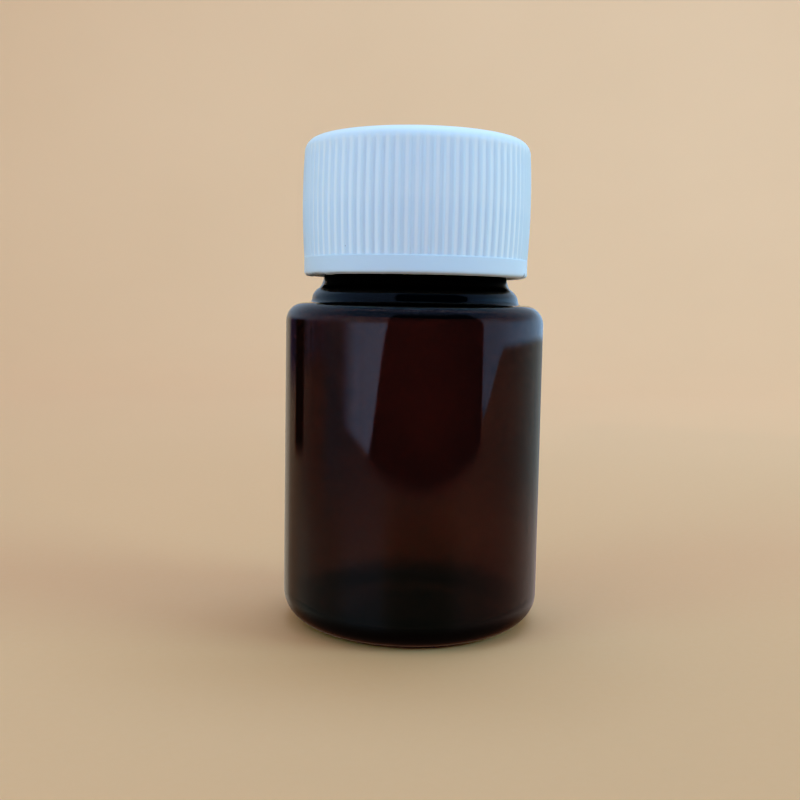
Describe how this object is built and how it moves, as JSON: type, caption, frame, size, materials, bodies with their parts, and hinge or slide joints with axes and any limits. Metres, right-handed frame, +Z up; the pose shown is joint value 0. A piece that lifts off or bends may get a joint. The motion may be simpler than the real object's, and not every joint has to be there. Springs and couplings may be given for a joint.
{
  "type": "prescription vial",
  "caption": "Small round dark-amber plastic bottle for tablets or capsules, with a ribbed white screw cap that unscrews and lifts off with its sealing liner.",
  "frame": {"origin": "centre of the plane that the bottle stands on", "axes": "+Z up along the axis of the bottle and the cap"},
  "size_m": [0.036, 0.036, 0.0672],
  "materials": {
    "amber_plastic": "gloss",
    "white_plastic": "satin",
    "pulpboard": "matte",
    "foil": "satin"
  },
  "bodies": {
    "bottle": {"bottle": "amber_plastic"},
    "liner": {"liner_board": "pulpboard", "liner_foil": "foil"},
    "cap": {"cap": "white_plastic"}
  },
  "joints": [
    {"name": "cap_rise", "type": "slide", "parent": "bottle", "child": "liner", "axis": [0, 0, 1], "range_m": [0, 0.0211]},
    {"name": "cap_turn", "type": "hinge", "parent": "liner", "child": "cap", "pos_m": [0, 0, 0.0572], "axis": [0, 0, 1], "range_deg": [0, 1800]}
  ],
  "couplings": [
    {"joint": "cap_rise", "follows": "cap_turn", "m_per_rad": 0.00066845}
  ]
}
